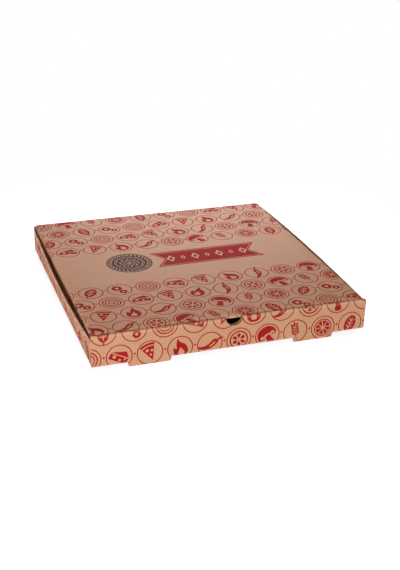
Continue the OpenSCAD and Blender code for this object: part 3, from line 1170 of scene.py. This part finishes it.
def flute_lines(board):
    """Lines along the middle of every cut edge: (points, edges, what each point knows by name)."""
    points, edges = [], []
    known = {"skin_normal": [], "into_board": [], "across_flutes": []}
    for fold, flat, outward, following, across, mirror in board.cuts:
        flips = flips_of(mirror)
        for chain in cut_chains(following):
            spots, inward = [flat[chain[0]]], [-outward[chain[0]]]
            for b in chain[1:]:
                step = flat[b] - spots[-1]
                if np.linalg.norm(step) < FLUTE_STEP / 4 and b != chain[-1]:
                    continue
                count = max(1, math.ceil(abs(step[across]) / FLUTE_STEP))
                start_in, start_at = inward[-1], spots[-1]
                for i in range(1, count + 1):
                    spots.append(start_at + step * i / count)
                    inward.append(start_in + (-outward[b] - start_in) * i / count)
            closed = chain[0] == chain[-1]
            if closed:
                spots.pop()
                inward.pop()
            spots, inward = np.array(spots), np.array(inward)
            n = skin_normals(fold, spots)
            here = fold(spots)
            deep = fold(spots + FLUTE_DEPTH * inward)
            start, count = len(points), len(spots)
            points += list((here - n * (BOARD_T + FLUTE_PAPER_T) / 2) * flips)
            known["skin_normal"] += list(n * flips)
            known["into_board"] += list((deep - here) * flips)
            known["across_flutes"] += list(spots[:, across])
            links = [(start + i, start + (i + 1) % count) for i in range(count if closed else count - 1)]
            edges += links if mirror else [(b, a) for a, b in links]
    return points, edges, known


FLUTE_SIZES = {
    "Flute Pitch": FLUTE_PITCH,
    "Flute Height": BOARD_T / 2 - LINER_T - FLUTE_PAPER_T / 2,
    "Paper Thickness": FLUTE_PAPER_T,
}


def flute_tree(material):
    """Geometry nodes that turn a line along a cut edge into the wavy end of the fluted sheet."""
    tree = bpy.data.node_groups.new("fluted_sheet", "GeometryNodeTree")
    tree.interface.new_socket("Geometry", in_out="INPUT", socket_type="NodeSocketGeometry")
    for name in FLUTE_SIZES:
        tree.interface.new_socket(name, in_out="INPUT", socket_type="NodeSocketFloat")
    tree.interface.new_socket("Geometry", in_out="OUTPUT", socket_type="NodeSocketGeometry")
    graph = Graph(tree)
    given = graph.add("NodeGroupInput").outputs

    def attribute(name, kind):
        return graph.add("GeometryNodeInputNamedAttribute", {"Name": name}, data_type=kind).outputs[0]

    def drawn_out(mesh, way, mode, **values):
        values = {"Mesh": mesh, "Offset": way, "Offset Scale": 1.0, **values}
        return graph.add("GeometryNodeExtrudeMesh", values, mode=mode).outputs["Mesh"]

    up = attribute("skin_normal", "FLOAT_VECTOR")
    turns = graph.maths("DIVIDE", attribute("across_flutes", "FLOAT"), given["Flute Pitch"])
    wave = graph.maths("SINE", graph.maths("MULTIPLY", turns, math.tau))
    rise = graph.scaled(up, graph.maths("MULTIPLY", wave, given["Flute Height"]))
    line = graph.add("GeometryNodeSetPosition", {"Geometry": given["Geometry"], "Offset": rise}).outputs[0]
    strip = drawn_out(line, attribute("into_board", "FLOAT_VECTOR"), "EDGES")
    upper = drawn_out(strip, graph.scaled(up, given["Paper Thickness"]), "FACES", Individual=False)
    under = graph.add("GeometryNodeFlipFaces", {"Mesh": strip}).outputs[0]
    both = graph.add("GeometryNodeJoinGeometry", {0: upper})
    graph.feed(both.inputs, {0: under})
    merge = {"Geometry": both.outputs[0], "Distance": FLUTE_SEAM}
    closed = graph.add("GeometryNodeMergeByDistance", merge).outputs[0]
    real = graph.add("GeometryNodeRealizeInstances", {0: closed}).outputs[0]
    finished = graph.add("GeometryNodeSetMaterial", {"Geometry": real, "Material": material}).outputs[0]
    graph.add("NodeGroupOutput", {0: finished})
    return tree


def flute_object(name, board, tree):
    points, edges, known = flute_lines(board)
    mesh = bpy.data.meshes.new(name + "_lines")
    mesh.from_pydata([tuple(p) for p in points], edges, [])
    for label, values in known.items():
        values = np.array(values, np.float32)
        kind, key = ("FLOAT_VECTOR", "vector") if values.ndim > 1 else ("FLOAT", "value")
        layer = mesh.attributes.new(label, kind, "POINT")
        layer.data.foreach_set(key, values.ravel())
    maker = new_object(name + "_lines", mesh)
    modifier = maker.modifiers.new("fluted_sheet", "NODES")
    modifier.node_group = tree
    for socket in tree.interface.items_tree:
        if socket.name in FLUTE_SIZES:
            modifier[socket.identifier] = FLUTE_SIZES[socket.name]
    shown = maker.evaluated_get(bpy.context.evaluated_depsgraph_get())
    made = bpy.data.meshes.new_from_object(shown)
    made.name = name
    for label in known:
        if label in made.attributes:
            made.attributes.remove(made.attributes[label])
    bpy.data.objects.remove(maker)
    return new_object(name, made)


# Making the pieces

materials = board_materials()
flutes = flute_tree(plain_paper("flute_paper_and_painted_shade", FLUTE_PAPER_AND_SHADE_COLOUR))

tray_board = make_tray()
tray = board_object("tray_board", tray_board, materials)
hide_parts("tray")
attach(tray, "tray")
tray_flutes = flute_object("tray_flutes", tray_board, flutes)
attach(tray_flutes, "tray")

lid_board = make_lid()
lid = board_object("lid_board", lid_board, materials)
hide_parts("lid")
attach(lid, "lid")
lid_flutes = flute_object("lid_flutes", lid_board, flutes)
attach(lid_flutes, "lid")

crease = crease_object("lid_crease", materials[KRAFT])
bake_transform(crease)


# Studio

CAMERA_AZIMUTH = math.radians(-19.50)
CAMERA_ELEVATION = math.radians(25.05)
CAMERA_ROLL = math.radians(1.33)
CAMERA_DISTANCE = 1.2603
CAMERA_ASIDE = (0.0169, 0.0020)
FOCAL_PIXELS = 979.7
IMAGE_HEIGHT = 570
SENSOR = 36.0

FLOOR_R = 1.3
FLOOR_CORNERS = 96
FLOOR_FADE = (0.252, 0.63)
FLOOR_GREY = (0.93, 0.93, 0.93)
FLOOR_GLOW = 0.68
FLOOR_GLOW_COLOUR = (0.96, 1.0, 1.05)
SKY_STRENGTH = 0.045
WHITE = (1, 1, 1)

# Soft boxes: name, place, target, size, power, colour, and the angle in degrees that the grid lets through
LAMPS = (
    ("back_light", (0.18, 0.55, 0.25), (0.06, 0.13, 0.04), (0.5, 0.16), 0.47, (0.95, 0.98, 1.08), 60),
    ("top_light", (-0.06, 0.1, 0.9), (-0.06, 0.0, 0.04), (0.5, 0.6), 2.3, (1.26, 0.75, 0.5), 180),
    ("key_light", (-0.62, -1.75, 0.36), (0, -0.1, 0.02), (0.7, 0.4), 29.8, (1.0, 0.985, 1.04), 180),
    ("left_reflector", (-0.345, 0.0, 0.003), (-0.345, 0.0, 1.0), (0.3, 0.7), 0.65, (0.96, 1.0, 1.05), 180),
    ("right_reflector", (0.345, 0.0, 0.003), (0.345, 0.0, 1.0), (0.3, 0.7), 0.4, WHITE, 180),
    ("left_light", (-1.3, -0.25, 0.08), (-0.17, 0.0, 0.03), (1.4, 0.14), 3.0, (0.97, 1.0, 1.04), 180),
    ("rear_fill", (0.35, 1.7, 0.35), (0.0, 0.2, 0.03), (1.0, 0.5), 3.5, WHITE, 180),
)


def make_camera():
    az, el, roll = CAMERA_AZIMUTH, CAMERA_ELEVATION, CAMERA_ROLL
    back = Vector((math.sin(az) * math.cos(el), -math.cos(az) * math.cos(el), math.sin(el)))
    level = Vector((math.cos(az), math.sin(az), 0))
    upright = back.cross(level)
    right = math.cos(roll) * level + math.sin(roll) * upright
    up = -math.sin(roll) * level + math.cos(roll) * upright
    camera_data = bpy.data.cameras.new("camera")
    camera_data.sensor_width = SENSOR
    camera_data.lens = FOCAL_PIXELS / IMAGE_HEIGHT * SENSOR
    camera = new_object("camera", camera_data)
    place = CAMERA_DISTANCE * back + CAMERA_ASIDE[0] * right + CAMERA_ASIDE[1] * up + Vector((0, 0, Z_BASE))
    turn = Matrix((right, up, back)).transposed().to_4x4()
    camera.matrix_world = Matrix.Translation(place) @ turn
    bpy.context.scene.camera = camera


def soft_light(name, place, target, size, power, colour, spread):
    light = bpy.data.lights.new(name, "AREA")
    light.shape = "RECTANGLE"
    light.size, light.size_y = size
    light.energy = power
    light.color = colour
    light.spread = math.radians(spread)
    lamp = new_object(name, light)
    lamp.location = place
    lamp.rotation_euler = (Vector(target) - Vector(place)).to_track_quat("-Z", "Y").to_euler()


def shows_backdrop(graph):
    """1 for the rays that show the white backdrop: the camera's, mirrored ones and those through glass."""
    path = graph.add("ShaderNodeLightPath").outputs
    share = path["Is Camera Ray"]
    for kind in ("Is Glossy Ray", "Is Transmission Ray"):
        share = graph.maths("MAXIMUM", share, path[kind])
    return share


def make_floor():
    """A pale round floor that fades into the white backdrop past the box's own shadow."""
    mesh = bpy.data.meshes.new("floor")
    rim = [(x, y, 0) for x, y in circle(0, 0, FLOOR_R, FLOOR_CORNERS)]
    mesh.from_pydata(rim, [], [tuple(range(FLOOR_CORNERS))])
    floor = new_object("floor", mesh)
    material, graph, shader = new_material("pale_floor")
    place = graph.add("ShaderNodeTexCoord").outputs["Object"]
    reach = graph.add("ShaderNodeVectorMath", {0: place}, operation="LENGTH").outputs["Value"]
    graph.feed(shader, {
        "Base Color": opaque(FLOOR_GREY),
        "Roughness": 0.9,
        "Specular IOR Level": 0.0,
        "Emission Color": opaque(FLOOR_GLOW_COLOUR),
        "Emission Strength": graph.ranged(shows_backdrop(graph), 0.0, 1.0, 0.0, FLOOR_GLOW),
        "Alpha": graph.ranged(reach, *FLOOR_FADE, 1.0, 0.0),
    })
    mesh.materials.append(material)


def make_world():
    """A dim sky, with white in its place for the camera."""
    world = bpy.data.worlds.new("studio")
    bpy.context.scene.world = world
    world.use_nodes = True
    graph = Graph(world.node_tree)
    sky = graph.nodes["Background"]
    graph.feed(sky.inputs, {"Color": opaque(WHITE), "Strength": SKY_STRENGTH})
    backdrop = graph.add("ShaderNodeBackground", {"Color": opaque(WHITE)})
    shades = {0: shows_backdrop(graph), 1: sky.outputs[0], 2: backdrop.outputs[0]}
    shown = graph.add("ShaderNodeMixShader", shades).outputs[0]
    graph.feed(graph.nodes["World Output"].inputs, {"Surface": shown})


make_camera()
make_floor()
make_world()
for lamp in LAMPS:
    soft_light(*lamp)
bpy.context.scene.view_settings.view_transform = "Standard"
